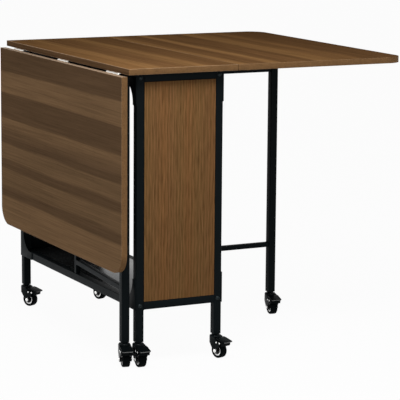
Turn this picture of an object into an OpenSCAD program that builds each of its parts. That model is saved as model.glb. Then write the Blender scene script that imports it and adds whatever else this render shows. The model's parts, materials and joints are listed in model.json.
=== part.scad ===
/* [Tabletop] */
// Width of the fixed centre panel, across the table
top_w = 295; // [260:1:340]
// Depth of the centre panel and of both leaves
top_d = 800; // [760:1:900]
// Length of a drop leaf, from its hinge edge outwards
leaf_l = 485; // [440:1:500]
// Thickness of the boards of the top
board_t = 15; // [12:1:20]
// Height of the upper face above the floor
top_h = 740; // [720:1:780]
// Radius of the outer corners of the leaves
leaf_corner_r = 50; // [20:1:80]
// Gap between the centre panel and a raised leaf
leaf_gap = 1; // [0.6:0.1:1.6]

/* [Frame] */
// Outer width of the frame, over its posts
frame_w = 234; // [224:1:240]
// Outer depth of the frame, over its posts
frame_d = 760; // [740:1:780]
// Side of the square tube of posts and rails
tube_w = 20; // [18:1:22]
// Wall of every square tube
tube_wall = 1.5; // [1:0.1:1.5]
// Underside of the bottom rails above the floor
rail_z = 142; // [130:1:160]
// Thickness of the end panels
end_panel_t = 15; // [12:1:16]
// Thickness of the bottom shelf
shelf_t = 12; // [10:1:15]
// Fit between a board and the tubes round it
board_fit = 0.3; // [0.2:0.1:0.6]
// Root gap of the welded tube joints
weld_gap = 0.2; // [0.1:0.1:0.4]
// Thickness of the corner plates
corner_plate_t = 2; // [1.5:0.5:3]
// Length of a corner plate along the rail
corner_plate_l = 80; // [78:1:100]
// Height of a corner plate along the post
corner_plate_h = 77; // [76:1:100]
// Radius of the hollow inner edge of a corner plate
corner_plate_r = 52; // [30:1:53]

/* [Tabs and screws] */
// Thickness of the screw tabs
tab_t = 2; // [1.5:0.5:3]
// Reach of a screw tab from its tube
tab_reach = 18; // [14:1:22]
// Width of a screw tab along its tube
tab_w = 24; // [16:1:30]
// Distance of the top and shelf tabs from the middle of a rail
tab_y = 220; // [150:1:260]
// Distance of the panel tabs from the ends of an end panel
tab_inset = 70; // [40:1:120]
// Radius of a wood screw's shank
screw_r = 2; // [1.5:0.1:2.4]
// Depth that a wood screw goes into its board
screw_l = 10; // [8:1:11]
// Radius of a wood screw's head
screw_head_r = 3.6; // [3:0.1:4.5]
// Height of a wood screw's head
screw_head_h = 1.8; // [1:0.1:2]
// Radius of a frame bolt's shank
bolt_r = 3; // [2.5:0.1:4]
// Radius of a frame bolt's head
bolt_head_r = 6; // [5:0.1:8]
// Height of a frame bolt's head
bolt_head_h = 3; // [2:0.1:4]
// Length of a frame bolt under its head
bolt_l = 42; // [32:1:60]
// Clearance round every screw, bolt and pin
pin_gap = 0.05; // [0.02:0.01:0.1]

/* [Hinges] */
// Length of a leaf hinge
hinge_l = 66; // [60:1:90]
// Width of one hinge plate, from the pin
hinge_plate_w = 28; // [20:1:34]
// Thickness of a hinge plate
hinge_plate_t = 1.5; // [1:0.1:2]
// Distance of the outer hinges from the middle one
hinge_pitch = 306; // [250:1:306]
// Radius of a hinge knuckle
knuckle_r = 3; // [2.5:0.1:3]
// Radius of a hinge pin
hinge_pin_r = 1.5; // [1:0.1:1.8]
// Gap between neighbouring knuckles
knuckle_gap = 0.3; // [0.2:0.1:0.5]
// Gap over a knuckle, and between knuckles and the plates that pass them
hinge_clear = 0.3; // [0.3:0.05:0.4]

/* [Gates] */
// Distance from a gate's pivot to the middle of its leg
gate_r = 355.5; // [350:0.5:356]
// Side of a gate leg's square tube
leg_w = 20; // [16:1:20]
// Side of the square tube of a gate's pivot and rungs
rung_w = 13; // [12:1:14]
// Underside of the lower rung above the floor
lower_rung_z = 187; // [180:1:220]
// Underside of the upper rung above the floor
upper_rung_z = 669; // [600:1:672]
// Angle by which the folded gate stands off the frame
gate_splay = 4.4; // [4.2:0.1:4.7]
// Radius of a gate's pivot pin
pivot_pin_r = 4; // [3:0.1:4.5]
// Height of the collar that carries a gate
pivot_collar_h = 1.6; // [1:0.1:2]
// Play above a pivot collar
pivot_play = 0.2; // [0.1:0.1:0.4]
// Thickness of the cap on a gate leg
cap_t = 3; // [2:0.5:5]
// Gap between a leg cap and the stop under its leaf
cap_gap = 0.3; // [0.2:0.1:0.5]
// Drop of the stop's side lip beside the leg cap
stop_lip = 10; // [5:1:14]
// Thickness of the stop's side lip
stop_lip_t = 5; // [3:0.5:8]

/* [Casters] */
// Height of a caster, from the floor to its leg
caster_h = 61; // [60:0.5:66]
// Radius of a wheel over its tyre
wheel_r = 19.5; // [18:0.5:19.5]
// Width of a tyre
tyre_w = 19; // [16:0.5:20]
// Depth of the tyre's rubber
tyre_t = 6; // [4:0.5:6.5]
// Distance of the axle behind the swivel axis
trail = 14; // [13:0.5:15]
// Width of a fork over its cheeks
fork_w = 30; // [29:0.5:30]
// Thickness of a fork's cheek
cheek_t = 2.2; // [1.8:0.1:2.4]
// Radius of an axle bolt
axle_r = 3; // [2.5:0.1:3.5]
// Radius of a caster's stem
stem_r = 4; // [3:0.1:5]
// Length of a stem inside its leg
stem_l = 18; // [14:1:19]
// Depth of the plug in the foot of a leg
plug_h = 20; // [20:1:26]
// Reach of a brake pedal from the swivel axis
pedal_reach = 47.5; // [46:0.5:49]
// Width of a brake pedal
pedal_w = 29; // [26:0.5:29]

/* [Caster headings at rest] */
// Heading of the near left caster, from the X axis
near_left_heading = -92; // [-94:1:-60]
// Heading of the near right caster
near_right_heading = -73; // [-95:1:-60]
// Heading of the far left caster
far_left_heading = -61; // [-95:1:-60]
// Heading of the far right caster
far_right_heading = -72; // [-95:1:-60]
// Heading of the left gate's caster
left_gate_heading = -104; // [-120:1:-103]
// Heading of the right gate's caster
right_gate_heading = -95; // [-120:1:-90]

/* [Hidden] */
$fn = 64;
CASTERS = ["near_left", "near_right", "far_left", "far_right", "left_gate", "right_gate"];
CASTER_PIECES = ["fork", "pins", "hub", "tyre", "brake"];

// Colours as the photograph shows them
walnut = [0.43, 0.31, 0.20];
walnut_side = [0.42, 0.30, 0.19];
paint = [0.06, 0.07, 0.08];
shelf_black = [0.05, 0.05, 0.05];
steel = [0.75, 0.75, 0.76];
black_plastic = [0.04, 0.04, 0.04];
rubber = [0.03, 0.03, 0.03];
white_nylon = [0.88, 0.88, 0.87];

// Overlap of a cutting solid past the face that it cuts
cut = 1;

// Levels and places that follow from the sizes above
under_z = top_h - board_t;
post_x = frame_w / 2 - tube_w / 2;
post_y = frame_d / 2 - tube_w / 2;
inner_x = frame_w / 2 - tube_w;
inner_y = frame_d / 2 - tube_w;
rail_top_z = rail_z + tube_w;
top_rail_z = under_z - tube_w;
bolt_levels = [rail_z + tube_w / 2, top_rail_z + tube_w / 2];
hinge_x = top_w / 2 + leaf_gap / 2;
pin_drop = knuckle_r + hinge_clear;
hinge_z = under_z - pin_drop;
hinge_ys = [-hinge_pitch, 0, hinge_pitch];
pivot_x = frame_w / 2 - rung_w / 2;
pivot_seat = pivot_collar_h + pivot_play;
stop_t = pin_drop + knuckle_r;
leg_top_z = under_z - stop_t - cap_gap - cap_t;
stop_x = pivot_x + gate_r;
stop_pad = leg_w + 8;
hub_r = wheel_r - tyre_t;
cheek_in = fork_w / 2 - cheek_t;
hood_r = fork_w / 2;
hood_top_z = caster_h - 3.3;
hood_plate_z = hood_top_z - 4.7;
hood_skirt_z = 37;
brake_pivot = [18.5, 41.8];
stop_rivet = [30, 41.3];
rivet_r = 1.5;
rivet_head_r = 2.1;
pedal_corner_r = 3;

// Angle of the folded left gate, and the place of each caster's stem
left_gate_angle = -90 - gate_splay;
left_leg = [-pivot_x + gate_r * cos(left_gate_angle), gate_r * sin(left_gate_angle)];
caster_places = [[-post_x, -post_y], [post_x, -post_y], [-post_x, post_y], [post_x, post_y],
                 left_leg, [pivot_x + gate_r, 0]];
caster_headings = [near_left_heading, near_right_heading, far_left_heading, far_right_heading,
                   left_gate_heading, right_gate_heading];

// Reach of a pedal towards the near side, and so the middle of the whole table at rest
function pedal_near(i) = caster_places[i][1]
    - (pedal_reach - pedal_corner_r) * abs(sin(caster_headings[i]))
    - (pedal_w / 2 - pedal_corner_r) * abs(cos(caster_headings[i])) - pedal_corner_r;
near_y = min(-top_d / 2, min([for (i = [0:5]) pedal_near(i)]));
origin_x = (hinge_x + leaf_gap / 2 + leaf_l - hinge_x - pin_drop - board_t) / 2;
origin_y = (near_y + top_d / 2) / 2;

// Moves a piece from the middle of the frame to the table's own origin
module placed() {
    translate([-origin_x, -origin_y, 0]) children();
}

// Draws its children as they are and mirrored to the other side of the frame
module both_sides() {
    children();
    mirror([1, 0, 0]) children();
}

// Square tube along Z from z0 to z1, open at its ends
module tube(side, z0, z1) {
    difference() {
        translate([-side / 2, -side / 2, z0]) cube([side, side, z1 - z0]);
        translate([tube_wall - side / 2, tube_wall - side / 2, z0 - cut])
            cube([side - 2 * tube_wall, side - 2 * tube_wall, z1 - z0 + 2 * cut]);
    }
}

// Square tube along X from x0 to x1, its middle at height z
module tube_along_x(side, x0, x1, z) {
    translate([0, 0, z]) rotate([0, 90, 0]) tube(side, x0, x1);
}

// Square leg on the floor side of which a plug holds a caster's stem
module plugged_leg(side, z1) {
    difference() {
        translate([-side / 2, -side / 2, caster_h]) cube([side, side, z1 - caster_h]);
        translate([tube_wall - side / 2, tube_wall - side / 2, caster_h + plug_h])
            cube([side - 2 * tube_wall, side - 2 * tube_wall, z1]);
        translate([0, 0, caster_h - cut]) cylinder(r = stem_r + pin_gap, h = plug_h + 2 * cut);
    }
}

// Hole through a post or into a rail for a bolt along Y
module bolt_hole(z, y0, y1) {
    translate([0, y0, z]) rotate([-90, 0, 0]) cylinder(r = bolt_r + pin_gap, h = y1 - y0);
}

// Wood screw whose head seats on the plane z = 0 and whose point goes up
module wood_screw(seat_t) {
    cylinder(r = screw_r, h = screw_l + seat_t);
    translate([0, 0, -screw_head_h]) cylinder(r = screw_head_r, h = screw_head_h);
}

// Pilot hole for a wood screw, up from the plane z = 0
module pilot() {
    translate([0, 0, -cut]) cylinder(r = screw_r + pin_gap, h = screw_l + pin_gap + cut);
}

// Screw tab along X, its welded end at x = 0, its lower face at z = 0
module tab() {
    difference() {
        translate([0, -tab_w / 2, 0]) cube([tab_reach, tab_w, tab_t]);
        translate([tab_reach / 2, 0, -cut]) cylinder(r = screw_r + pin_gap, h = tab_t + 2 * cut);
    }
}

// Places of the tabs' screws: under the top, under the shelf and behind an end panel
tab_x = inner_x - weld_gap - tab_reach / 2;
top_tab_ys = [-tab_y, 0, tab_y];
shelf_tab_ys = [-tab_y, tab_y];
shelf_z = rail_top_z - shelf_t;
panel_back_y = -frame_d / 2 + end_panel_t;
panel_tab_zs = [rail_top_z + tab_inset, top_rail_z - tab_inset];

// Turns a piece drawn at a tube on the +X side to face inwards from it
module inward_at(x, y, z) {
    translate([x, y, z]) mirror([1, 0, 0]) children();
}

module centre_top() {
    color(walnut) placed() difference() {
        translate([-top_w / 2, -top_d / 2, under_z]) cube([top_w, top_d, board_t]);
        both_sides() {
            for (y = top_tab_ys) translate([tab_x, y, under_z]) pilot();
            for (y = hinge_ys) translate([hinge_x, y, under_z]) hinge_screws(-1) pilot();
        }
    }
}

// Welded end frame: two posts, two cross rails and four tabs for the end panel
module end_frame() {
    both_sides() {
        translate([post_x, -post_y, 0]) difference() {
            plugged_leg(tube_w, under_z);
            for (z = bolt_levels) bolt_hole(z, -tube_w, tube_w);
        }
        for (z = panel_tab_zs) inward_at(inner_x - weld_gap, panel_back_y + tab_t, z)
            rotate([90, 0, 0]) tab();
    }
    for (z = bolt_levels) translate([0, -post_y, 0])
        tube_along_x(tube_w, -inner_x + weld_gap, inner_x - weld_gap, z);
}

module near_end_frame() {
    color(paint) placed() end_frame();
}

module far_end_frame() {
    color(paint) placed() rotate(180) end_frame();
}

// Board between the posts, flush with their outer face and standing on the lower cross rail
module end_panel() {
    difference() {
        translate([-inner_x + board_fit, -frame_d / 2, rail_top_z])
            cube([2 * (inner_x - board_fit), end_panel_t, top_rail_z - rail_top_z - board_fit]);
        both_sides() for (z = panel_tab_zs) translate([tab_x, panel_back_y, z])
            rotate([90, 0, 0]) pilot();
    }
}

module near_end_panel() {
    color(walnut_side) placed() end_panel();
}

module far_end_panel() {
    color(walnut_side) placed() rotate(180) end_panel();
}

// Long rail between the end frames, with a threaded plug in each end
module long_rail(z) {
    difference() {
        translate([post_x - tube_w / 2, -inner_y, z]) cube([tube_w, 2 * inner_y, tube_w]);
        translate([post_x - tube_w / 2 + tube_wall, -inner_y + plug_h, z + tube_wall])
            cube([tube_w - 2 * tube_wall, 2 * (inner_y - plug_h), tube_w - 2 * tube_wall]);
        translate([post_x, 0, 0]) bolt_hole(z + tube_w / 2, -inner_y - cut, inner_y + cut);
        translate([pivot_x, 0, z + tube_w / 2]) rotate([z < under_z / 2 ? 0 : 180, 0, 0])
            cylinder(r = pivot_pin_r + pin_gap, h = tube_w);
    }
}

module top_rails() {
    color(paint) placed() both_sides() {
        long_rail(top_rail_z);
        for (y = top_tab_ys) inward_at(inner_x - weld_gap, y, under_z - tab_t) tab();
    }
}

module bottom_rails() {
    color(paint) placed() both_sides() {
        long_rail(rail_z);
        for (y = shelf_tab_ys) inward_at(inner_x - weld_gap, y, shelf_z - tab_t) tab();
    }
}

module bottom_shelf() {
    color(shelf_black) placed() difference() {
        translate([-inner_x + board_fit, -inner_y + board_fit, shelf_z])
            cube([2 * (inner_x - board_fit), 2 * (inner_y - board_fit), shelf_t]);
        both_sides() for (y = shelf_tab_ys) translate([tab_x, y, shelf_z])
            cylinder(r = screw_r + pin_gap, h = 2 * (screw_l + pin_gap), center = true);
    }
}

// Outline of a corner plate: an arm on the post, an arm on the rail and a hollow arc between
module corner_outline() {
    far = corner_plate_l + corner_plate_h;
    difference() {
        square([corner_plate_l, corner_plate_h]);
        translate([tube_w + corner_plate_r, tube_w + corner_plate_r]) circle(corner_plate_r);
        translate([tube_w + corner_plate_r, tube_w]) square(far);
        translate([tube_w, tube_w + corner_plate_r]) square(far);
    }
}

module corner_plates() {
    color(paint) placed() both_sides() for (s = [0, 1]) mirror([0, s, 0]) {
        translate([frame_w / 2, -frame_d / 2, rail_z])
            rotate([90, 0, 90]) linear_extrude(corner_plate_t) corner_outline();
        translate([frame_w / 2, -frame_d / 2, under_z]) mirror([0, 0, 1])
            rotate([90, 0, 90]) linear_extrude(corner_plate_t) corner_outline();
    }
}

// Button head bolts through the posts into the long rails
module frame_bolts() {
    color(paint) placed() both_sides() for (s = [0, 1]) mirror([0, s, 0])
        for (z = bolt_levels) translate([post_x, -frame_d / 2, z]) rotate([-90, 0, 0]) {
            cylinder(r = bolt_r, h = bolt_l);
            translate([0, 0, -bolt_head_h]) rotate_extrude() intersection() {
                square([bolt_head_r, bolt_head_h]);
                translate([0, bolt_head_r]) circle(bolt_head_r);
            }
        }
}

module cabinet_screws() {
    color(steel) placed() {
        both_sides() {
            for (y = top_tab_ys) translate([tab_x, y, under_z - tab_t]) wood_screw(tab_t);
            for (y = shelf_tab_ys) translate([tab_x, y, shelf_z - tab_t]) wood_screw(tab_t);
            for (y = hinge_ys) translate([hinge_x, y, under_z - hinge_plate_t])
                hinge_screws(-1) wood_screw(hinge_plate_t);
            for (s = [0, 1]) mirror([0, s, 0]) for (z = panel_tab_zs)
                translate([tab_x, panel_back_y + tab_t, z]) rotate([90, 0, 0]) wood_screw(tab_t);
        }
    }
}

// Three screws of a hinge plate, on the panel side (-1) or the leaf side (1) of the pin
module hinge_screws(side) {
    for (k = [-1, 0, 1]) translate([side * (k == 0 ? 0.72 : 0.45) * hinge_plate_w,
                                    k * (hinge_l / 2 - 12), 0]) children();
}

// Hinge plate beside the pin: its knuckles, and room for the knuckles of the other plate
module hinge_plate(side) {
    pitch = hinge_l / 5;
    low = pin_drop - hinge_plate_t;
    x_near = knuckle_r + hinge_clear;
    mirror([side < 0 ? 1 : 0, 0, 0]) difference() {
        union() {
            translate([x_near, -hinge_l / 2, low])
                cube([hinge_plate_w - x_near, hinge_l, hinge_plate_t]);
            for (k = side < 0 ? [0, 2, 4] : [1, 3]) {
                y0 = -hinge_l / 2 + k * pitch + knuckle_gap / 2;
                knuckle_l = pitch - knuckle_gap;
                translate([0, y0, low]) cube([x_near + cut, knuckle_l, hinge_plate_t]);
                translate([0, y0, 0]) rotate([-90, 0, 0]) cylinder(r = knuckle_r, h = knuckle_l);
            }
        }
        rotate([90, 0, 0]) cylinder(r = hinge_pin_r + pin_gap, h = hinge_l + 2 * cut, center = true);
        translate([0, 0, low - cut]) hinge_screws(1)
            cylinder(r = screw_r + pin_gap, h = hinge_plate_t + 2 * cut);
    }
}

module panel_hinge_plates() {
    color(steel) placed() both_sides() for (y = hinge_ys)
        translate([hinge_x, y, hinge_z]) hinge_plate(-1);
}

module hinge_pins() {
    head_r = hinge_pin_r + 0.8;
    head_h = 0.8;
    color(steel) placed() both_sides() for (y = hinge_ys)
        translate([hinge_x, y, hinge_z]) rotate([90, 0, 0]) {
            cylinder(r = hinge_pin_r, h = hinge_l + 2 * head_h, center = true);
            for (s = [0, 1]) mirror([0, 0, s]) translate([0, 0, hinge_l / 2])
                cylinder(r = head_r, h = head_h);
        }
}

// Pins fixed in the rails, each with the collar that spaces a gate from its rail
module pivot_pin() {
    translate([0, 0, -tube_w + 3]) cylinder(r = pivot_pin_r, h = 2 * tube_w - 3);
    cylinder(r = pivot_pin_r + 2.4, h = pivot_collar_h);
}

module gate_pivot_pins() {
    color(paint) placed() both_sides() {
        translate([pivot_x, 0, rail_top_z]) pivot_pin();
        translate([pivot_x, 0, top_rail_z]) mirror([0, 0, 1]) pivot_pin();
    }
}

// Leaf raised level on the right: its corner on the hinge pin is the origin
module leaf_board() {
    x0 = leaf_gap / 2;
    difference() {
        translate([0, 0, pin_drop]) linear_extrude(board_t) {
            translate([x0, -top_d / 2]) square([leaf_l - leaf_corner_r, top_d]);
            translate([x0, -top_d / 2 + leaf_corner_r]) square([leaf_l, top_d - 2 * leaf_corner_r]);
            for (s = [-1, 1]) translate([x0 + leaf_l - leaf_corner_r, s * (top_d / 2 - leaf_corner_r)])
                circle(leaf_corner_r, $fn = 128);
        }
        for (y = hinge_ys) translate([0, y, pin_drop]) hinge_screws(1) pilot();
        translate([0, 0, pin_drop]) stop_screws() pilot();
    }
}

module leaf_plates() {
    for (y = hinge_ys) translate([0, y, 0]) hinge_plate(1);
}

// Screws of a leaf: three for each hinge plate and two for the stop
module leaf_screws() {
    for (y = hinge_ys) translate([0, y, pin_drop - hinge_plate_t])
        hinge_screws(1) wood_screw(hinge_plate_t);
    translate([0, 0, pin_drop - stop_ear_t]) stop_screws() wood_screw(stop_ear_t);
}

// Screws of the stop, on both sides of the leg along the leaf
stop_ear_t = 3;
stop_ear = 14;
module stop_screws() {
    for (s = [-1, 1]) translate([stop_x - hinge_x + s * (stop_pad / 2 + stop_ear / 2), 0, 0]) children();
}

// Pad that the leg's cap carries, with two ears and a lip that stops the open gate
module leaf_stop() {
    ear_x = stop_pad + 2 * stop_ear;
    lip_y = leg_w / 2 + cap_gap;
    translate([stop_x - hinge_x, 0, pin_drop]) mirror([0, 0, 1]) difference() {
        union() {
            translate([-stop_pad / 2, -stop_pad / 2, 0]) cube([stop_pad, stop_pad, stop_t]);
            translate([-ear_x / 2, -stop_ear / 2, 0]) cube([ear_x, stop_ear, stop_ear_t]);
            translate([-leg_w / 2, -lip_y - stop_lip_t, 0]) cube([leg_w, stop_lip_t, stop_t + stop_lip]);
        }
        for (s = [-1, 1]) translate([s * (stop_pad + stop_ear) / 2, 0, -cut])
            cylinder(r = screw_r + pin_gap, h = stop_ear_t + 2 * cut);
    }
}

// Right leaf: up. Left leaf: the same leaf turned round to the other side and hanging
module right_leaf_place() {
    placed() translate([hinge_x, 0, hinge_z]) children();
}

module left_leaf_place() {
    placed() translate([-hinge_x, 0, hinge_z]) rotate([0, -90, 0]) rotate(180) children();
}

module left_leaf() {
    color(walnut) left_leaf_place() leaf_board();
}

module left_leaf_hinge_plates() {
    color(steel) left_leaf_place() leaf_plates();
}

module left_leaf_screws() {
    color(steel) left_leaf_place() leaf_screws();
}

module left_leaf_stop() {
    color(black_plastic) left_leaf_place() leaf_stop();
}

module right_leaf() {
    color(walnut) right_leaf_place() leaf_board();
}

module right_leaf_hinge_plates() {
    color(steel) right_leaf_place() leaf_plates();
}

module right_leaf_screws() {
    color(steel) right_leaf_place() leaf_screws();
}

module right_leaf_stop() {
    color(black_plastic) right_leaf_place() leaf_stop();
}

// Welded gate along +X from its pivot: pivot tube, two rungs and the leg
module gate_frame() {
    pivot_z0 = rail_top_z + pivot_seat;
    pivot_z1 = top_rail_z - pivot_seat;
    difference() {
        translate([-rung_w / 2, -rung_w / 2, pivot_z0]) cube([rung_w, rung_w, pivot_z1 - pivot_z0]);
        translate([tube_wall - rung_w / 2, tube_wall - rung_w / 2, pivot_z0 + plug_h])
            cube([rung_w - 2 * tube_wall, rung_w - 2 * tube_wall, pivot_z1 - pivot_z0 - 2 * plug_h]);
        translate([0, 0, pivot_z0 - cut])
            cylinder(r = pivot_pin_r + pin_gap, h = pivot_z1 - pivot_z0 + 2 * cut);
    }
    for (z = [lower_rung_z, upper_rung_z])
        tube_along_x(rung_w, rung_w / 2 + weld_gap, gate_r - leg_w / 2 - weld_gap, z + rung_w / 2);
    translate([gate_r, 0, 0]) plugged_leg(leg_w, leg_top_z);
}

// Cap pressed into the open top of the leg
module gate_cap() {
    plug_w = leg_w - 2 * tube_wall - 2 * pin_gap;
    plug_l = 12;
    translate([gate_r, 0, leg_top_z]) {
        translate([-leg_w / 2, -leg_w / 2, 0]) cube([leg_w, leg_w, cap_t]);
        translate([-plug_w / 2, -plug_w / 2, -plug_l]) cube([plug_w, plug_w, plug_l]);
    }
}

module right_gate_place() {
    placed() translate([pivot_x, 0, 0]) children();
}

module left_gate_place() {
    placed() translate([-pivot_x, 0, 0]) rotate(left_gate_angle) children();
}

module left_gate_frame() {
    color(paint) left_gate_place() gate_frame();
}

module left_gate_cap() {
    color(black_plastic) left_gate_place() gate_cap();
}

module right_gate_frame() {
    color(paint) right_gate_place() gate_frame();
}

module right_gate_cap() {
    color(black_plastic) right_gate_place() gate_cap();
}

// Stem of a caster: shank in the leg, flange under it, spigot and head that carry the fork
module caster_stem() {
    flange_r = 9;
    flange_h = 2.8;
    head_r = 6.5;
    head_h = 2.4;
    head_gap = 0.3;
    head_z = hood_plate_z - head_gap - head_h;
    translate([0, 0, head_z]) cylinder(r = stem_r, h = caster_h + stem_l - head_z);
    translate([0, 0, head_z]) cylinder(r = head_r, h = head_h);
    translate([0, 0, caster_h - flange_h]) cylinder(r = flange_r, h = flange_h);
}

module post_caster_stems() {
    color(paint) placed() for (i = [0:3]) translate(caster_places[i]) caster_stem();
}

module left_gate_caster_stem() {
    color(paint) placed() translate(caster_places[4]) caster_stem();
}

module right_gate_caster_stem() {
    color(paint) placed() translate(caster_places[5]) caster_stem();
}

// Plate in the upright plane of a caster, w wide and centred on that plane
module upright(w) {
    translate([0, w / 2, 0]) rotate([90, 0, 0]) linear_extrude(w) children();
}

// Cheek seen from the side: from the hood down to the axle, and forward to the brake's rivets
module cheek_outline() {
    boss_r = 6.5;
    nose_r = 2.6;
    difference() {
        union() {
            polygon([[-3, hood_plate_z + 1], [-4, hood_skirt_z - 1], [-1, 31], [trail - 6, wheel_r - 2],
                     [trail + 5.5, wheel_r + 3.5], [31.5, 38], [32.6, 41.3], [30, 43.9], [20, 45.5],
                     [13, 48], [9, hood_plate_z + 1]]);
            translate([trail, wheel_r]) circle(boss_r);
            translate(stop_rivet) circle(nose_r);
        }
        translate([trail, wheel_r]) circle(axle_r + pin_gap);
        translate(brake_pivot) circle(rivet_r + pin_gap);
        translate(stop_rivet) circle(rivet_r + pin_gap);
    }
}

// Fork: domed hood with a skirt, open to the front, and two cheeks
module fork() {
    dome_r = 4;
    difference() {
        union() {
            rotate_extrude() {
                translate([0, hood_plate_z]) square([hood_r - dome_r, hood_top_z - hood_plate_z]);
                translate([hood_r - dome_r, hood_top_z - dome_r]) circle(dome_r);
                translate([cheek_in, hood_skirt_z]) square([cheek_t, hood_top_z - dome_r - hood_skirt_z]);
                translate([0, hood_plate_z]) square([hood_r, hood_top_z - dome_r - hood_plate_z]);
            }
            for (s = [-1, 1]) translate([0, s * (cheek_in + cheek_t / 2), 0])
                upright(cheek_t) cheek_outline();
        }
        translate([0, 0, hood_skirt_z - cut]) cylinder(r = stem_r + pin_gap, h = caster_h);
        translate([4, -cheek_in, hood_skirt_z - cut])
            cube([hood_r, 2 * cheek_in, hood_plate_z - hood_skirt_z + cut]);
    }
}

// Pin across the fork with a round head outside each cheek
module cross_pin(at, r, head_r, head_h) {
    translate([at[0], 0, at[1]]) rotate([90, 0, 0]) {
        cylinder(r = r, h = fork_w + 2 * head_h, center = true);
        for (s = [0, 1]) mirror([0, 0, s]) translate([0, 0, fork_w / 2]) cylinder(r = head_r, h = head_h);
    }
}

// Axle bolt, and the two rivets that hold the brake
module pins() {
    cross_pin([trail, wheel_r], axle_r, axle_r + 1.6, 1.8);
    cross_pin(brake_pivot, rivet_r, rivet_head_r, 0.8);
    cross_pin(stop_rivet, rivet_r, rivet_head_r, 0.8);
}

// Turned about the axle
module about_axle() {
    translate([trail, 0, wheel_r]) rotate([90, 0, 0]) rotate_extrude() children();
}

module hub() {
    bore_r = axle_r + pin_gap;
    boss_r = axle_r + 2.5;
    boss_w = 2 * (cheek_in - 0.3);
    face_w = tyre_w - 3;
    about_axle() {
        translate([bore_r, -face_w / 2]) square([hub_r - pin_gap - bore_r, face_w]);
        translate([bore_r, -boss_w / 2]) square([boss_r - bore_r, boss_w]);
    }
}

// Tyre with rounded shoulders
module tyre() {
    shoulder_r = 3.5;
    about_axle() intersection() {
        translate([hub_r, -tyre_w / 2]) square([tyre_t, tyre_w]);
        union() {
            translate([0, -tyre_w / 2]) square([wheel_r - shoulder_r, tyre_w]);
            translate([0, shoulder_r - tyre_w / 2]) square([wheel_r, tyre_w - 2 * shoulder_r]);
            for (s = [-1, 1]) translate([wheel_r - shoulder_r, s * (tyre_w / 2 - shoulder_r)])
                circle(shoulder_r);
        }
    }
}

// Plan of the pedal plate, rounded at its tip
module pedal_plan(x0) {
    half = pedal_w / 2 - pedal_corner_r;
    translate([x0, -pedal_w / 2]) square([pedal_reach - pedal_corner_r - x0, pedal_w]);
    translate([pedal_reach - 2 * pedal_corner_r, -half]) square([2 * pedal_corner_r, 2 * half]);
    for (s = [-1, 1]) translate([pedal_reach - pedal_corner_r, s * half]) circle(pedal_corner_r);
}

// Brake: a pedal that slopes down from the hood, an apron at its front, and a web on the rivet
module brake() {
    web_w = 2 * cheek_in - 4;
    plate_x0 = hood_r + 0.7;
    difference() {
        union() {
            intersection() {
                linear_extrude(hood_top_z) pedal_plan(plate_x0);
                union() {
                    upright(pedal_w) polygon([[plate_x0, 50.2], [plate_x0, 53], [24, 52],
                        [pedal_reach, 45.6], [pedal_reach, 43.8], [36, 45.8]]);
                    upright(pedal_w) polygon([[34.5, 33.4], [37.5, 33.4], [41, 46], [35, 47]]);
                }
            }
            upright(web_w) polygon([[14.5, 40.4], [20, 39.9], [26, 38.7], [29, 36.6], [33, 34.9],
                [37, 36.6], [37, 46.5], [plate_x0 + 0.5, 51.5], [14.5, 45]]);
        }
        translate([brake_pivot[0], 0, brake_pivot[1]]) rotate([90, 0, 0])
            cylinder(r = rivet_r + pin_gap, h = fork_w, center = true);
        translate([stop_rivet[0], 0, stop_rivet[1]]) brake_slot();
    }
}

// Slot in the web in which the stop rivet lies while the pedal goes down
module brake_slot() {
    slot_r = rivet_r + 0.5;
    travel = 2.8;
    for (z = [0, travel]) translate([0, 0, z]) rotate([90, 0, 0])
        cylinder(r = slot_r, h = fork_w, center = true);
    translate([-slot_r, -fork_w / 2, 0]) cube([2 * slot_r, fork_w, travel]);
}

module caster_piece(piece) {
    if (piece == "fork") color(paint) fork();
    if (piece == "pins") color(steel) pins();
    if (piece == "hub") color(white_nylon) hub();
    if (piece == "tyre") color(rubber) tyre();
    if (piece == "brake") color(black_plastic) brake();
}

module placed_caster_piece(i, piece) {
    placed() translate(caster_places[i]) rotate(caster_headings[i]) caster_piece(piece);
}

centre_top();
near_end_frame();
far_end_frame();
near_end_panel();
far_end_panel();
top_rails();
bottom_rails();
bottom_shelf();
corner_plates();
frame_bolts();
cabinet_screws();
panel_hinge_plates();
hinge_pins();
gate_pivot_pins();
post_caster_stems();
left_leaf();
left_leaf_hinge_plates();
left_leaf_screws();
left_leaf_stop();
right_leaf();
right_leaf_hinge_plates();
right_leaf_screws();
right_leaf_stop();
left_gate_frame();
left_gate_cap();
left_gate_caster_stem();
right_gate_frame();
right_gate_cap();
right_gate_caster_stem();
for (i = [0:5]) for (p = CASTER_PIECES)
    placed_caster_piece(i, p);
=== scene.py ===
import json
import math

import bmesh
import bpy
from mathutils import Matrix, Vector


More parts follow.
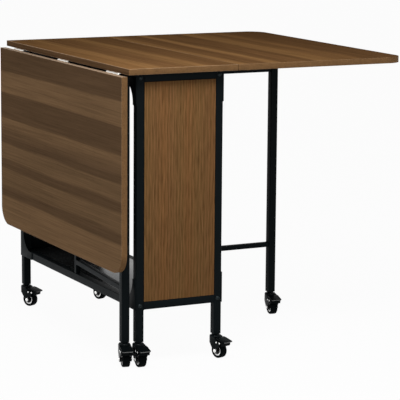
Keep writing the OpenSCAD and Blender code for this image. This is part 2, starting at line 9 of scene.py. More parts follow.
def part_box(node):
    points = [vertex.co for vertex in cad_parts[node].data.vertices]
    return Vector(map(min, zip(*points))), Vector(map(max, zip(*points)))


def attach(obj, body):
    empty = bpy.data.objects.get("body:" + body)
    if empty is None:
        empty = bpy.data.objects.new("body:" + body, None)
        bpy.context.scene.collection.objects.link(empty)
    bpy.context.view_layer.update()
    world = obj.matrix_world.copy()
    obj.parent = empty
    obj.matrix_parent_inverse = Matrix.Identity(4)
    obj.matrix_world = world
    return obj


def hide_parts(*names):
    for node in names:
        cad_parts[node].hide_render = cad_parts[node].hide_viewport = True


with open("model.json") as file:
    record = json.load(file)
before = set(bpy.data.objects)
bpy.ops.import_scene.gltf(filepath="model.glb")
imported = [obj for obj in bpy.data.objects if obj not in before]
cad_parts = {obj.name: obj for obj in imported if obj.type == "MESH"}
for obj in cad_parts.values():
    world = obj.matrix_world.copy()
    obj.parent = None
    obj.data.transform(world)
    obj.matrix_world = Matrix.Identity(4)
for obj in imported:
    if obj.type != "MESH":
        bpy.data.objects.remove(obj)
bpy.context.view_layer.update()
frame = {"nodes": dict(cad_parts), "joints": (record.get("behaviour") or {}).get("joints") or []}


# Camera: a long lens a good way off, turned and tipped as the photograph shows the table, with a
# little roll. The table is seen from its near left corner, from above the top.
yaw, pitch, roll = 0.467545, -0.172430, 0.007841
camera_place, camera_lens = (-2.372357, -4.716668, 1.253388), 180.035
ahead = Vector((math.sin(yaw) * math.cos(pitch), math.cos(yaw) * math.cos(pitch), math.sin(pitch)))
level = Vector((math.cos(yaw), -math.sin(yaw), 0))
above = level.cross(ahead)
turned = Matrix((level * math.cos(roll) + above * math.sin(roll),
                 above * math.cos(roll) - level * math.sin(roll), -ahead)).transposed()
camera = bpy.data.objects.new("camera", bpy.data.cameras.new("camera"))
camera.data.sensor_width, camera.data.lens, camera.data.clip_end = 36, camera_lens, 50
camera.matrix_world = Matrix.LocRotScale(Vector(camera_place), turned, None)
bpy.context.collection.objects.link(camera)
bpy.context.scene.camera = camera


# Studio: a plain pale floor, white surroundings and large soft lamps, which light the table at a
# plain level. The floor keeps the table's shadow, and metal shows the white surroundings.
class Shade:
    """A value in a shader tree. Arithmetic between two of them adds the Math nodes."""

    def __init__(self, tree, socket=None):
        self.tree, self.socket = tree, socket

    def add(self, kind, settings=None, sockets=None, out=0):
        """Adds any node: its type, its settings, then the values or links of its sockets."""
        node = self.tree.nodes.new("ShaderNode" + kind)
        for name, value in (settings or {}).items():
            if name == "stops":
                ramp = node.color_ramp
                while len(ramp.elements) < len(value):
                    ramp.elements.new(0.5)
                for stop, (place, colour) in zip(ramp.elements, value):
                    stop.position, stop.color = place, (*colour, 1)
            else:
                setattr(node, name, value)
        for name, value in (sockets or {}).items():
            if isinstance(value, Shade):
                self.tree.links.new(value.socket, node.inputs[name])
            else:
                node.inputs[name].default_value = value
        return Shade(self.tree, node.outputs[out] if node.outputs else None)

    def other(self, output):
        """Another output of the node that this value comes from."""
        return Shade(self.tree, self.socket.node.outputs[output])

    def between(self, first, second):
        """The colour that lies this far from the first towards the second."""
        amount, colour_a, colour_b, mixed = 0, 6, 7, 2   # sockets that share their names
        first, second = (tone if isinstance(tone, Shade) else (*tone, 1)
                         for tone in (first, second))
        return self.add("Mix", {"data_type": "RGBA"}, {
            amount: self, colour_a: first, colour_b: second}, out=mixed)

    def math(self, operation, first, second=0.0):
        return self.add("Math", {"operation": operation}, {0: first, 1: second})

    def __add__(self, other):
        return self.math("ADD", self, other)

    def __radd__(self, other):
        return self.math("ADD", other, self)

    def __sub__(self, other):
        return self.math("SUBTRACT", self, other)

    def __rsub__(self, other):
        return self.math("SUBTRACT", other, self)

    def __mul__(self, other):
        return self.math("MULTIPLY", self, other)

    def __rmul__(self, other):
        return self.math("MULTIPLY", other, self)

    def __gt__(self, other):
        return self.math("GREATER_THAN", self, other)

    def __lt__(self, other):
        return self.math("LESS_THAN", self, other)


def finish_named(name):
    """A material with an empty tree, as a Shade to build on."""
    made = bpy.data.materials.new(name)
    made.use_nodes = True
    made.node_tree.nodes.clear()
    return made, Shade(made.node_tree)


def in_view(tree):
    """One for the rays of the camera, a reflection or glass, nought for the light on the table."""
    rays = tree.add("LightPath")
    return tree.math("MAXIMUM", rays, tree.math("MAXIMUM", rays.other("Is Glossy Ray"),
                                                rays.other("Is Transmission Ray")))


floor_half, floor_grey, floor_glow = 14, 0.6, 0.96
floor_finish, pale = finish_named("pale floor")
glow = in_view(pale) * floor_glow
matt = pale.add("BsdfDiffuse", {}, {"Color": (floor_grey, floor_grey, floor_grey, 1)})
bright = pale.add("Emission", {}, {"Color": (1, 1, 1, 1), "Strength": 1.0})
pale.add("OutputMaterial", {}, {
    "Surface": pale.add("MixShader", {}, {0: glow, 1: matt, 2: bright})})
floor_mesh = bpy.data.meshes.new("floor")
floor_mesh.from_pydata([(x * floor_half, y * floor_half, 0)
                        for x, y in ((-1, -1), (1, -1), (1, 1), (-1, 1))], [], [(0, 1, 2, 3)])
floor_mesh.materials.append(floor_finish)
floor = bpy.data.objects.new("floor", floor_mesh)
bpy.context.collection.objects.link(floor)

air_light = 0.30
surroundings = bpy.data.worlds.new("white studio")
surroundings.use_nodes = True
surroundings.node_tree.nodes.clear()
air = Shade(surroundings.node_tree)
air.add("OutputWorld", {}, {"Surface": air.add("Background", {}, {
    "Color": (1, 1, 1, 1), "Strength": air_light + (1 - air_light) * in_view(air)})})
bpy.context.scene.world = surroundings

for name, place, target, size, spread, power in (
        ("key", (-0.75, -1.06, 2.05), (0, -0.5, 0), 0.7, 110, 11),
        ("high front", (-0.3, -2.3, 4.3), (0, 0, 0.45), 1.0, 180, 44),
        ("left fill", (-2.6, 1.6, 0.2), (-0.2, 0.2, 0.3), 1.6, 180, 36),
        ("front fill", (0.8, -3.2, 0.15), (0.1, 0, 0.2), 1.6, 180, 16)):
    lamp = bpy.data.objects.new(name, bpy.data.lights.new(name, "AREA"))
    lamp.data.shape, lamp.data.size, lamp.data.energy = "DISK", size, power
    lamp.data.spread = math.radians(spread)
    aim = Vector(target) - Vector(place)
    lamp.matrix_world = Matrix.LocRotScale(Vector(place), aim.to_track_quat("-Z", "Y"), None)
    bpy.context.collection.objects.link(lamp)

bpy.context.scene.view_settings.view_transform = "Standard"


# End frames: square steel tube, sawn, welded at the cross rails and powder coated satin black.
# Each tube's long edges are rounded, as drawn tube is.
def eased(node, body, radius=0.0, shortest=0.0, sharpest=40.0, rim=-1, then=None):
    """A copy of a CAD node with flat faces made whole and its outer edges rounded, where they are
    longer than shortest and sharper than sharpest. The rounded strips take the finish number rim.
    then is a further step on the piece."""
    same_spot, same_plane, strip_area, crease = 2e-6, math.radians(0.4), 0.0002, math.radians(32)
    shape = bmesh.new()
    shape.from_mesh(frame["nodes"][node].data)
    bmesh.ops.remove_doubles(shape, verts=shape.verts, dist=same_spot)
    bmesh.ops.dissolve_limit(shape, angle_limit=same_plane, verts=shape.verts, edges=shape.edges)
    if radius:
        edges = [edge for edge in shape.edges
                 if len(edge.link_faces) == 2 and edge.calc_length() >= shortest
                 and edge.calc_face_angle_signed(0.0) > math.radians(sharpest)]
        bmesh.ops.bevel(shape, geom=edges, offset=radius, offset_type="OFFSET", segments=3,
                        profile=0.5, affect="EDGES", clamp_overlap=True, material=rim)
    mesh = bpy.data.meshes.new(node + "_shape")
    shape.to_mesh(mesh)
    shape.free()
    for face in mesh.polygons:
        face.use_smooth = face.area < strip_area
    mesh.set_sharp_from_angle(angle=crease)
    piece = bpy.data.objects.new(node + "_finished", mesh)
    bpy.context.collection.objects.link(piece)
    if then:
        then(piece)
    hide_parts(node)
    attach(piece, body)
    return piece


def coat(piece, *finishes):
    """Gives a piece its finishes, the first one all over."""
    for finish in finishes:
        piece.data.materials.append(finish)
    return piece


black_paint, paint = finish_named("satin black powder coat")
at = paint.add("TexCoord", out="Object")
speck = paint.add("TexNoise", {}, {"Vector": at, "Scale": 2600.0, "Detail": 2.0})
cloud = paint.add("TexNoise", {}, {"Vector": at, "Scale": 14.0, "Detail": 3.0})
paint.add("OutputMaterial", {}, {"Surface": paint.add("BsdfPrincipled", {}, {
    "Base Color": cloud.between((0.0025, 0.0042, 0.0050), (0.0046, 0.0068, 0.0078)),
    "Roughness": 0.40 + 0.14 * cloud,
    "Specular IOR Level": 0.03,
    "Normal": paint.add("Bump", {}, {"Strength": 0.12, "Distance": 0.0002, "Height": speck})})})

tube_round, tube_edge = 0.0016, 0.03
for node in ("near_end_frame", "far_end_frame"):
    coat(eased(node, "cabinet", radius=tube_round, shortest=tube_edge), black_paint)


# Weld beads where a tube meets another: overlapping drops laid along the joint line, under the same
# paint. Flush faces are ground, so they carry none.
def node_group(name, sizes):
    """An empty Geometry Nodes group with named inputs, and a method that adds a node to it."""
    group = bpy.data.node_groups.new(name, "GeometryNodeTree")
    group.interface.new_socket("Geometry", in_out="INPUT", socket_type="NodeSocketGeometry")
    group.interface.new_socket("Geometry", in_out="OUTPUT", socket_type="NodeSocketGeometry")
    for label, kind in sizes:
        group.interface.new_socket(label, in_out="INPUT", socket_type="NodeSocket" + kind)

    def put(kind, settings=None, sockets=None):
        node = group.nodes.new(kind)
        for setting, value in (settings or {}).items():
            setattr(node, setting, value)
        for socket, value in (sockets or {}).items():
            if isinstance(value, bpy.types.NodeSocket):
                group.links.new(value, node.inputs[socket])
            else:
                node.inputs[socket].default_value = value
        return node.outputs
    return group, put


def grown(piece, group, **values):
    """Runs a group on a piece and keeps the result as its plain mesh, in one finish."""
    step = piece.modifiers.new("step", "NODES")
    step.node_group = group
    for item in group.interface.items_tree:
        if item.in_out == "INPUT" and item.name in values:
            step[item.identifier] = values[item.name]
    bpy.context.view_layer.update()
    made = bpy.data.meshes.new_from_object(
        piece.evaluated_get(bpy.context.evaluated_depsgraph_get()))
    piece.modifiers.remove(step)
    finish = made.materials[made.polygons[0].material_index]
    made.materials.clear()
    made.materials.append(finish)
    piece.data = made


welding, put = node_group("weld bead", (("Pitch", "Float"), ("Radius", "Float"),
                                        ("Paint", "Material")))
given = put("NodeGroupInput")
line = put("GeometryNodeMeshToCurve", {}, {"Mesh": given["Geometry"]})
line = put("GeometryNodeResampleCurve", {"mode": "LENGTH"}, {"Curve": line[0],
                                                             "Length": given["Pitch"]})
drop = put("GeometryNodeMeshIcoSphere", {}, {"Radius": given["Radius"], "Subdivisions": 2})
uneven = put("FunctionNodeRandomValue", {"data_type": "FLOAT"}, {2: 0.82, 3: 1.06, "Seed": 5})
beads = put("GeometryNodeInstanceOnPoints", {}, {"Points": line[0], "Instance": drop[0],
                                                 "Scale": uneven[1]})
beads = put("GeometryNodeRealizeInstances", {}, {"Geometry": beads[0]})
beads = put("GeometryNodeSetShadeSmooth", {}, {"Geometry": beads[0]})
beads = put("GeometryNodeSetMaterial", {}, {"Geometry": beads[0], "Material": given["Paint"]})
put("NodeGroupOutput", {}, {"Geometry": beads[0]})


def weld(name, body, lines):
    """One bead along each line of points. A line of more than two points is closed."""
    seam = bmesh.new()
    for points in lines:
        spots = [seam.verts.new(point) for point in points]
        for first, second in zip(spots, spots[1:]):
            seam.edges.new((first, second))
        if len(spots) > 2:
            seam.edges.new((spots[-1], spots[0]))
    mesh = bpy.data.meshes.new(name)
    seam.to_mesh(mesh)
    seam.free()
    piece = bpy.data.objects.new(name, mesh)
    bpy.context.collection.objects.link(piece)
    grown(piece, welding, Pitch=0.0014, Radius=0.0017, Paint=black_paint)
    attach(piece, body)


tube, bead_inset, low_rail_under = 0.0200, 0.0015, 0.142
for side in ("near", "far"):
    low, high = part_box(side + "_end_frame")
    weld(side + "_end_welds", "cabinet",
         [[(x, low[1] + bead_inset, low_rail_under), (x, high[1] - bead_inset, low_rail_under)]
          for x in (low[0] + tube, high[0] - tube)])


# Long rails between the end frames: the same square tube, one at each side above and below, with
# the screw tabs of the top and of the shelf. They are bolted to the posts.
for node in ("top_rails", "bottom_rails"):
    coat(eased(node, "cabinet", radius=tube_round, shortest=tube_edge), black_paint)


# Corner plates on the long sides: flat sheet steel with a hollow arc, cut out and welded over the
# joint of post and rail, then painted with the frame.
coat(eased("corner_plates", "cabinet", radius=0.0003, sharpest=60), black_paint)


# Button head bolts through the posts into the rails: blackened steel, each turned in by the
# hexagon socket in its head.
recessing, put = node_group("driven heads", (("Heads", "Object"), ("Crossed", "Bool"),
                                             ("Width", "Float"), ("Slot", "Float"),
                                             ("Depth", "Float"), ("Finish", "Material")))
given = put("NodeGroupInput")
heads = put("GeometryNodeObjectInfo", {"transform_space": "RELATIVE"}, {"Object": given["Heads"]})
facing = put("GeometryNodeInputNamedAttribute", {"data_type": "FLOAT_VECTOR"}, {"Name": "facing"})
turn = put("FunctionNodeAlignRotationToVector", {"axis": "Z"}, {"Vector": facing["Attribute"]})
hexagon = put("GeometryNodeMeshCylinder", {}, {"Vertices": 6, "Radius": given["Width"],
                                               "Depth": given["Depth"]})
bars = []
for sizes in (("Width", "Slot", "Depth"), ("Slot", "Width", "Depth")):
    size = put("ShaderNodeCombineXYZ", {}, dict(zip("XYZ", (given[label] for label in sizes))))
    bars.append(put("GeometryNodeMeshCube", {}, {"Size": size[0]})[0])
cross = put("GeometryNodeJoinGeometry", {}, {"Geometry": bars[0]})
recessing.links.new(bars[1], cross[0].node.inputs["Geometry"])
tool = put("GeometryNodeSwitch", {"input_type": "GEOMETRY"}, {
    "Switch": given["Crossed"], "False": hexagon["Mesh"], "True": cross[0]})
tools = put("GeometryNodeInstanceOnPoints", {}, {"Points": heads["Geometry"], "Instance": tool[0],
                                                 "Rotation": turn[0]})
tools = put("GeometryNodeRealizeInstances", {}, {"Geometry": tools[0]})
cut = put("GeometryNodeMeshBoolean", {"operation": "DIFFERENCE", "solver": "EXACT"}, {
    "Mesh 1": given["Geometry"], "Mesh 2": tools[0], "Self Intersection": True})
cut = put("GeometryNodeSetMaterial", {}, {"Geometry": cut["Mesh"], "Material": given["Finish"]})
put("NodeGroupOutput", {}, {"Geometry": cut[0]})


def driven(finish, crossed, width, slot, depth):
    """Cuts the drive recess into each head of a piece: the broad end of each of its fasteners.
    width is a hexagon's half width, or a cross's whole one, and slot the width of its bars."""
    def cut_heads(piece):
        fasteners = bmesh.new()
        fasteners.from_mesh(piece.data)
        left, tips, ways = dict.fromkeys(fasteners.verts), [], []
        while left:
            front = [left.popitem()[0]]
            one = list(front)
            while front:
                spot = front.pop()
                for edge in spot.link_edges:
                    near = edge.other_vert(spot)
                    if near in left:
                        del left[near]
                        front.append(near)
                        one.append(near)
            low, high = (Vector(pick(vert.co[axis] for vert in one) for axis in range(3))
                         for pick in (min, max))
            size, middle = high - low, (low + high) / 2
            long = max(range(3), key=lambda axis: size[axis])
            wide = max(one, key=lambda vert: sum(abs(vert.co[axis] - middle[axis])
                                                 for axis in range(3) if axis != long))
            way = Vector((0, 0, 0))
            way[long] = 1 if wide.co[long] > middle[long] else -1
            tips.append(middle + way * size[long] / 2)
            ways += list(way)
        fasteners.free()
        spots = bpy.data.meshes.new("heads")
        spots.from_pydata(tips, [], [])
        spots.attributes.new("facing", "FLOAT_VECTOR", "POINT").data.foreach_set("vector", ways)
        marks = bpy.data.objects.new("heads", spots)
        bpy.context.collection.objects.link(marks)
        grown(piece, recessing, Heads=marks, Crossed=crossed, Width=width, Slot=slot, Depth=depth,
              Finish=finish)
        bpy.data.objects.remove(marks)
    return cut_heads


blackened, dark_steel = finish_named("blackened bolt steel")
oxide = dark_steel.add("TexNoise", {}, {"Vector": dark_steel.add("TexCoord", out="Object"),
                                        "Scale": 700.0, "Detail": 3.0})
dark_steel.add("OutputMaterial", {}, {"Surface": dark_steel.add("BsdfPrincipled", {}, {
    "Base Color": oxide.between((0.008, 0.012, 0.013), (0.018, 0.026, 0.028)),
    "Metallic": 0.25,
    "Roughness": 0.26 + 0.18 * oxide,
    "Specular IOR Level": 0.12})})
hexagon_half, hexagon_depth = 0.0022, 0.0034
eased("frame_bolts", "cabinet",
      then=driven(blackened, False, hexagon_half, 0.0, hexagon_depth))


# Bottom shelf: particle board with smooth black laminate on both faces and round its edges. It is
# let in between the rails and screwed to their tabs.
black_laminate, board = finish_named("smooth black laminate")
at = board.add("TexCoord", out="Object")
grit = board.add("TexNoise", {}, {"Vector": at, "Scale": 900.0, "Detail": 2.0})
smear = board.add("TexNoise", {}, {"Vector": at, "Scale": 9.0, "Detail": 4.0})
board.add("OutputMaterial", {}, {"Surface": board.add("BsdfPrincipled", {}, {
    "Base Color": smear.between((0.0020, 0.0030, 0.0034), (0.0046, 0.0056, 0.0056)),
    "Roughness": 0.16 + 0.14 * smear,
    "Specular IOR Level": 0.14,
    "Normal": board.add("Bump", {}, {"Strength": 0.05, "Distance": 0.0002, "Height": grit})})})
board_edge = 0.05
coat(eased("bottom_shelf", "cabinet", radius=0.0006, shortest=board_edge),
     black_laminate)


# End panels: board with printed walnut laminate outside, its grain upright with fine streaks and
# pores, and black laminate inside and on the edges. They are let into the end frames.
def walnut(name, across, along, tones, tone_scale, tone_shift, lined=1.0, gloss=0.0, fine=330,
           run=3.5, broad=0.5, ruled=0.0):
    """Walnut with its grain along one axis and its planks across another. tones are the stops over
    the planks' period, which is 1 / tone_scale metres. lined, broad and ruled are the strengths of
    the fine marks, of the broad figure and of a comb of dashes. fine and run are the fine lines'
    waves a metre over the grain and along it."""
    made, wood = finish_named(name)
    parts = wood.add("SeparateXYZ", {}, {0: wood.add("TexCoord", out="Object")})
    axes = [parts.other(axis) for axis in range(3)]

    def grain(over, lengthwise, seed, detail, **more):
        """Noise with so many waves a metre over the grain and along it."""
        lanes = {axis: axes[axis] * over for axis in range(3)}
        lanes[along] = axes[along] * lengthwise + seed
        return wood.add("TexNoise", {}, {"Vector": wood.add("CombineXYZ", {}, lanes), "Scale": 1.0,
                                         "Detail": detail, **more}) - 0.5

    wander, rarest, line_depth, fibre_depth, pore_depth = 0.014, 0.11, 1.15, 0.5, 1.6
    drift = grain(14, 2.2, 3.1, 2.0)
    place = (axes[across] + drift * wander) * tone_scale + tone_shift
    plank = wood.add("ValToRGB", {"stops": tones}, {0: wood.math("FRACT", place)})
    figure = grain(60, 2.5, 1.9, 3.0, Distortion=0.5)
    lines = grain(fine, run, 4.3, 2.0, Distortion=0.2)
    fibre = grain(620, 9, 7.7, 4.0, Roughness=0.6)
    pores = wood.math("MAXIMUM", grain(520, 26, 5.3, 1.0) - rarest, 0.0)
    marks = lines * line_depth + fibre * fibre_depth - pores * pore_depth
    tone = 1 + lined * marks + figure * broad
    if ruled:
        comb_turn, comb_sway = 760, 7   # radians, the first to the metre
        comb = wood.math("SINE", axes[across] * comb_turn + grain(60, 10, 6.1, 1.0) * comb_sway)
        tone = tone + comb * (grain(110, 24, 2.3, 1.0) + 0.5) * (2 * ruled)
    wood.add("OutputMaterial", {}, {"Surface": wood.add("BsdfPrincipled", {}, {
        "Base Color": wood.add("VectorMath", {"operation": "SCALE"}, {0: plank, "Scale": tone}),
        "Roughness": 0.56 + 0.3 * fibre,
        "Specular IOR Level": gloss,
        "Normal": wood.add("Bump", {}, {"Strength": 0.25, "Distance": 0.0002,
                                        "Height": fibre - pores * 1.5})})})
    return made


ruddy, tawny, plain = (0.160, 0.0765, 0.0285), (0.148, 0.0775, 0.0290), (0.150, 0.0755, 0.0295)
upright = walnut("walnut, grain upright", 0, 2, [
    (0.0, plain), (0.15, ruddy), (0.3, plain), (0.48, tawny), (0.62, ruddy), (0.8, tawny),
    (1.0, plain)], tone_scale=7.0, tone_shift=0.1, lined=0.95, fine=380, run=24, broad=0.14,
    ruled=0.12)
square_on = 0.8   # the share of a face's normal that lies along the axis it faces
for node, out in (("near_end_panel", -1), ("far_end_panel", 1)):
    panel = coat(eased(node, "cabinet", radius=0.0005, shortest=board_edge),
                 black_laminate, upright)
    for face in panel.data.polygons:
        face.material_index = 1 if face.normal.y * out > square_on else 0


# Centre panel of the top: laminate printed as planks of changing tone that run along the table,
# with a plain edge band and square corners, a painted highlight on its rims and painted shade on
# its two side edges. It is screwed to tabs on the rails.
def faced(piece, thickness_axis, *finishes):
    """Broad faces take the first finish, the narrow edges the second and the rims the third."""
    coat(piece, *finishes)
    for face in piece.data.polygons:
        if face.material_index != 2:
            face.material_index = 0 if abs(face.normal[thickness_axis]) > square_on else 1
    return piece


def band(name, across, tone, lined, gloss=0.0):
    """Walnut of one tone, for the strips glued to a board's edges, and for painted highlights
    and painted shade on its rims, sides and joint.
    """
    return walnut(name, across, 1, [(0.0, tone), (1.0, tone)], tone_scale=1.0, tone_shift=0.0,
                  lined=lined, gloss=gloss)


dark, umber = (0.104, 0.052, 0.021), (0.120, 0.060, 0.024)
olive, light = (0.150, 0.076, 0.029), (0.180, 0.094, 0.036)
planks = walnut("walnut, planks along the table", 0, 1, [
    (0.000, olive), (0.065, olive), (0.085, light), (0.105, light), (0.125, umber), (0.185, umber),
    (0.245, light), (0.258, light), (0.280, umber), (0.365, dark), (0.372, light), (0.385, light),
    (0.425, umber), (0.480, dark), (0.497, light), (0.515, light), (0.540, dark), (0.590, umber),
    (0.620, umber), (0.650, dark), (0.665, light), (0.730, olive), (0.775, umber), (0.800, olive),
    (0.830, umber), (0.850, dark), (1.000, dark)], tone_scale=1 / 0.790, tone_shift=0.484)
edge_band = band("walnut edge band", 2, (0.162, 0.085, 0.034), lined=0.8, gloss=0.08)
# A lighter walnut on the rounded rims: a painted highlight along the boards' edges.
highlit_rim = band("walnut, rim with painted highlight", 2, (0.250, 0.150, 0.075), lined=0.6, gloss=0.2)
# A darker band for the side edges, which face the leaves: painted shade.
shaded_side_band = band("walnut edge band, painted shade", 2, (0.100, 0.056, 0.028), lined=0.8)
board_round = 0.0009
top = faced(eased("centre_top", "cabinet", radius=board_round,
                  shortest=board_edge, rim=2), 2, planks, edge_band, highlit_rim, shaded_side_band)
# The edge band on the faces towards the leaves takes the painted shade.
for face in top.data.polygons:
    if abs(face.normal.x) > square_on and face.material_index == 1:
        face.material_index = 3


# Hinges under the joints of top and leaves: pressed plates with rolled knuckles, on a pin, of
# bright zinc plated steel. They are screwed to the boards from below.
zinc_steel, zinc = finish_named("bright zinc plate")
brushed = zinc.add("TexNoise", {}, {"Vector": zinc.add("TexCoord", out="Object"), "Scale": 420.0,
                                    "Detail": 3.0})
zinc.add("OutputMaterial", {}, {"Surface": zinc.add("BsdfPrincipled", {}, {
    "Base Color": brushed.between((0.66, 0.64, 0.60), (0.84, 0.81, 0.76)),
    "Metallic": 1.0,
    "Roughness": 0.22 + 0.16 * brushed,
    "Normal": zinc.add("Bump", {}, {"Strength": 0.08, "Distance": 0.0002, "Height": brushed})})})
for node, body in (("panel_hinge_plates", "cabinet"), ("hinge_pins", "cabinet"),
                   ("left_leaf_hinge_plates", "left_leaf"),
                   ("right_leaf_hinge_plates", "right_leaf")):
    coat(eased(node, body), zinc_steel)


# Screws of the hinges, the tabs and the leaf stops: pan heads, zinc plated as the hinges, each
# driven into the board by the cross recess in its head.
cross_span, cross_slot, cross_depth = 0.0042, 0.0009, 0.0022
for node, body in (("cabinet_screws", "cabinet"), ("left_leaf_screws", "left_leaf"),
                   ("right_leaf_screws", "right_leaf")):
    eased(node, body,
          then=driven(zinc_steel, True, cross_span, cross_slot, cross_depth))


# Leaves: the same board as the centre panel, with round outer corners, one hinged to each long
# side of it. The left one hangs, its planks in cooler, greyer tones with painted haze and its top
# edge with a painted highlight. The right one is up, with painted shade in the joint where it
# meets the top.
# The left leaf's plank tones are cooler and greyer than the top's: its grain, with a painted haze
# of the white surroundings laid over it.
deep, middle, palest = (0.099, 0.0585, 0.0315), (0.139, 0.0835, 0.0435), (0.165, 0.098, 0.0505)
hazed_leaf_planks = walnut("walnut, planks of the leaf that hangs, with painted haze", 2, 1, [
    (0.000, palest), (0.155, palest), (0.165, deep), (0.205, deep), (0.225, middle), (0.315, middle),
    (0.325, deep), (0.365, deep), (0.378, middle), (0.460, middle), (0.470, deep), (0.500, deep),
    (0.590, palest), (0.605, palest), (0.613, deep), (0.750, deep), (0.758, palest), (0.870, palest),
    (0.880, deep), (1.000, deep)], tone_scale=1 / 0.485, tone_shift=-0.236 / 0.485, lined=0.6)
# The left leaf's upward edge is painted lighter: a painted highlight, with some real gloss.
highlit_upper_band = band("walnut edge band, painted highlight", 0, (0.250, 0.165, 0.100), lined=0.6, gloss=0.4)
hung = faced(eased("left_leaf", "left_leaf", radius=board_round,
                   shortest=board_edge, rim=2), 0, hazed_leaf_planks, edge_band, highlit_rim, highlit_upper_band)
# Its upward faces take the painted highlight.
for face in hung.data.polygons:
    if face.normal.z > square_on:
        face.material_index = 3

# Near-black faces where the right leaf meets the top: painted shade in the joint.
shaded_joint = band("walnut, painted shade in the joint", 2, (0.010, 0.006, 0.003), lined=1.0)
raised = faced(eased("right_leaf", "right_leaf", radius=board_round,
                     shortest=board_edge, rim=2), 2, planks, edge_band, highlit_rim)
joint_x = (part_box("centre_top")[1][0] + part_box("right_leaf")[0][0]) / 2
joint_half, level_from = 0.0016, 0.5
# Upright faces within the joint take the painted shade.
for walnut_board in (top, raised):
    coat(walnut_board, shaded_joint)
    for face in walnut_board.data.polygons:
        if abs(face.center.x - joint_x) < joint_half and abs(face.normal.z) < level_from:
            face.material_index = len(walnut_board.data.materials) - 1


# Stops that the gates' legs meet: one moulded block of black plastic under each leaf, screwed to
# it from below.
black_plastic, plastic = finish_named("moulded black plastic")
mould = plastic.add("TexNoise", {}, {"Vector": plastic.add("TexCoord", out="Object"),
                                     "Scale": 1800.0, "Detail": 2.0})
plastic.add("OutputMaterial", {}, {"Surface": plastic.add("BsdfPrincipled", {}, {
    "Base Color": mould.between((0.0016, 0.0026, 0.0030), (0.0030, 0.0040, 0.0044)),
    "Roughness": 0.34 + 0.12 * mould,
    "Specular IOR Level": 0.02,
    "Normal": plastic.add("Bump", {}, {"Strength": 0.1, "Distance": 0.0002, "Height": mould})})})
for leaf in ("left_leaf", "right_leaf"):
    coat(eased(leaf + "_stop", leaf, radius=0.0005), black_plastic)


# Gates that carry the leaves: a pivot tube on two pins, two rungs and a leg, all of square tube,
# welded and powder coated. A plastic cap closes the top of each leg.
rung_heights, rung_half, leg_half, pivot_half = (0.1935, 0.6755), 0.0065, 0.0102, 0.0067
pivot_share = 0.8   # how much of the rung's width is welded to the narrow pivot tube
for side in ("left", "right"):
    coat(eased(side + "_gate_frame", side + "_gate", radius=0.0014,
               shortest=tube_edge), black_paint)
    pivot = Vector(next(joint["pos_m"] for joint in frame["joints"]
                        if joint["name"] == side + "_gate_pivot"))
    low, high = (Vector(corner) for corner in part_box(side + "_gate_caster_stem"))
    run = ((low + high) / 2 - pivot) * Vector((1, 1, 0))
    reach, run = run.length, run.normalized()
    wide, tall = run.cross((0, 0, rung_half)), Vector((0, 0, rung_half))
    seams = []
    for height in rung_heights:
        foot, root = pivot + run * (reach - leg_half), pivot + run * pivot_half
        foot.z = root.z = height
        seams.append([foot + wide + tall, foot + wide - tall, foot - wide - tall,
                      foot - wide + tall])
        seams += [[root + wide * pivot_share + tall * way, root - wide * pivot_share + tall * way]
                  for way in (-1, 1)]
    weld(side + "_gate_welds", side + "_gate", seams)
    coat(eased(side + "_gate_cap", side + "_gate", radius=0.0005), black_plastic)


# Pivot pins of the gates, and caster stems pressed into the feet of the posts and the gate legs:
# turned steel with broken edges, blackened as the frame is.
for node, body in (("gate_pivot_pins", "cabinet"), ("post_caster_stems", "cabinet"),
                   ("left_gate_caster_stem", "left_gate"),
                   ("right_gate_caster_stem", "right_gate")):
    coat(eased(node, body, radius=0.0003), black_paint)


# Casters: a pressed fork in gloss black enamel, twin rivets and an axle with bright heads, a black
# wheel with a white ring and a rubber tyre, and a moulded brake pedal with a painted highlight
# along its front edge.
black_rubber, rubber = finish_named("black rubber")
scuff = rubber.add("TexNoise", {}, {"Vector": rubber.add("TexCoord", out="Object"), "Scale": 500.0,
                                    "Detail": 4.0})
rubber.add("OutputMaterial", {}, {"Surface": rubber.add("BsdfPrincipled", {}, {
    "Base Color": scuff.between((0.0014, 0.0024, 0.0028), (0.0030, 0.0040, 0.0044)),
    "Roughness": 0.55 + 0.2 * scuff,
    "Specular IOR Level": 0.02,
    "Normal": rubber.add("Bump", {}, {"Strength": 0.15, "Distance": 0.0002, "Height": scuff})})})

ring_inside, ring_outside, chart_width = 0.0100, 0.0137, 0.1
white_nylon, nylon = finish_named("wheel centre, black with a white ring")
flat = nylon.add("SeparateXYZ", {}, {0: nylon.add("UVMap", {"uv_map": "wheel plane"})})
across, up = ((side - 0.5) * chart_width for side in (flat, flat.other("Y")))
spread = nylon.math("SQRT", across * across + up * up)
ring = (spread > ring_inside) * (spread < ring_outside)
haze = nylon.add("TexNoise", {}, {"Vector": nylon.add("TexCoord", out="Object"), "Scale": 300.0,
                                  "Detail": 3.0})
nylon.add("OutputMaterial", {}, {"Surface": nylon.add("BsdfPrincipled", {}, {
    "Base Color": ring.between((0.006, 0.006, 0.006),
                               haze.between((0.86, 0.86, 0.84), (0.95, 0.95, 0.94))),
    "Metallic": 0.6 * ring,
    "Roughness": 0.30 + 0.15 * haze,
    "Specular IOR Level": 0.2})})

bright_head, head = finish_named("bright rivet heads")
dust = head.add("TexNoise", {}, {"Vector": head.add("TexCoord", out="Object"), "Scale": 900.0,
                                 "Detail": 2.0})
head.add("OutputMaterial", {}, {"Surface": head.add("BsdfPrincipled", {}, {
    "Base Color": dust.between((0.82, 0.82, 0.80), (0.94, 0.94, 0.92)),
    "Metallic": 0.55,
    "Roughness": 0.34 + 0.12 * dust})})

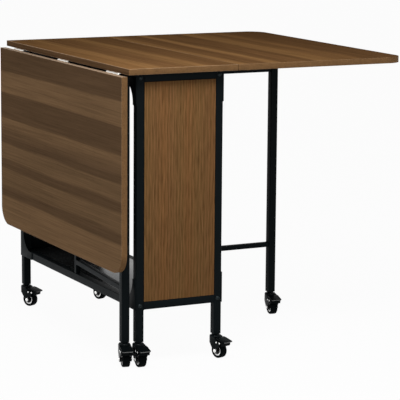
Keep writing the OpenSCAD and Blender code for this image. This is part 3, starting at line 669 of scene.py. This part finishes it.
gloss_paint, gloss = finish_named("gloss black enamel")
ripple = gloss.add("TexNoise", {}, {"Vector": gloss.add("TexCoord", out="Object"), "Scale": 260.0,
                                    "Detail": 2.0})
gloss.add("OutputMaterial", {}, {"Surface": gloss.add("BsdfPrincipled", {}, {
    "Base Color": ripple.between((0.0022, 0.0036, 0.0042), (0.0042, 0.0060, 0.0068)),
    "Roughness": 0.22 + 0.10 * ripple,
    "Specular IOR Level": 0.05,
    "Normal": gloss.add("Bump", {}, {"Strength": 0.06, "Distance": 0.0002, "Height": ripple})})})

# A grey finish on the pedal's front lip: a painted highlight along its rounded edge.
highlit_lip, lip_highlight = finish_named("pedal edge, painted highlight")
lip_mottle = lip_highlight.add("TexNoise", {}, {"Vector": lip_highlight.add("TexCoord", out="Object"), "Scale": 700.0,
                                   "Detail": 3.0})
lip_highlight.add("OutputMaterial", {}, {"Surface": lip_highlight.add("BsdfPrincipled", {}, {
    "Base Color": lip_mottle.between((0.050, 0.052, 0.052), (0.140, 0.142, 0.138)),
    "Roughness": 0.38 + 0.15 * lip_mottle})})

lip_depth, lip_height = 0.0012, 0.043
for caster in ("near_left", "near_right", "far_left", "far_right", "left_gate", "right_gate"):
    stem = caster + "_caster_"
    coat(eased(stem + "fork", caster + "_caster", radius=0.0004), gloss_paint)
    coat(eased(stem + "pins", caster + "_caster", radius=0.0003), bright_head)
    hub = coat(eased(stem + "hub", caster + "_wheel", radius=0.0004), white_nylon)
    low, high = (Vector(corner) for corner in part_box(stem + "hub"))
    centre = (low + high) / 2
    axle = Vector(next(joint["axis"] for joint in frame["joints"]
                       if joint["name"] == caster + "_wheel_spin"))
    ahead = axle.cross((0, 0, 1))
    chart = hub.data.uv_layers.new(name="wheel plane")
    for loop in hub.data.loops:
        spoke = (hub.data.vertices[loop.vertex_index].co - centre) / chart_width
        chart.data[loop.index].uv = (0.5 + spoke.dot(ahead), 0.5 + spoke.z)
    coat(eased(stem + "tyre", caster + "_wheel"), black_rubber)
    pedal = coat(eased(stem + "brake", caster + "_brake", radius=0.0006),
                 black_plastic, highlit_lip)
    ahead.normalize()
    tip = max(face.center.dot(ahead) for face in pedal.data.polygons)
    # The upper faces at the pedal's tip take the painted highlight.
    for face in pedal.data.polygons:
        if face.center.dot(ahead) > tip - lip_depth and face.center.z > lip_height:
            face.material_index = 1
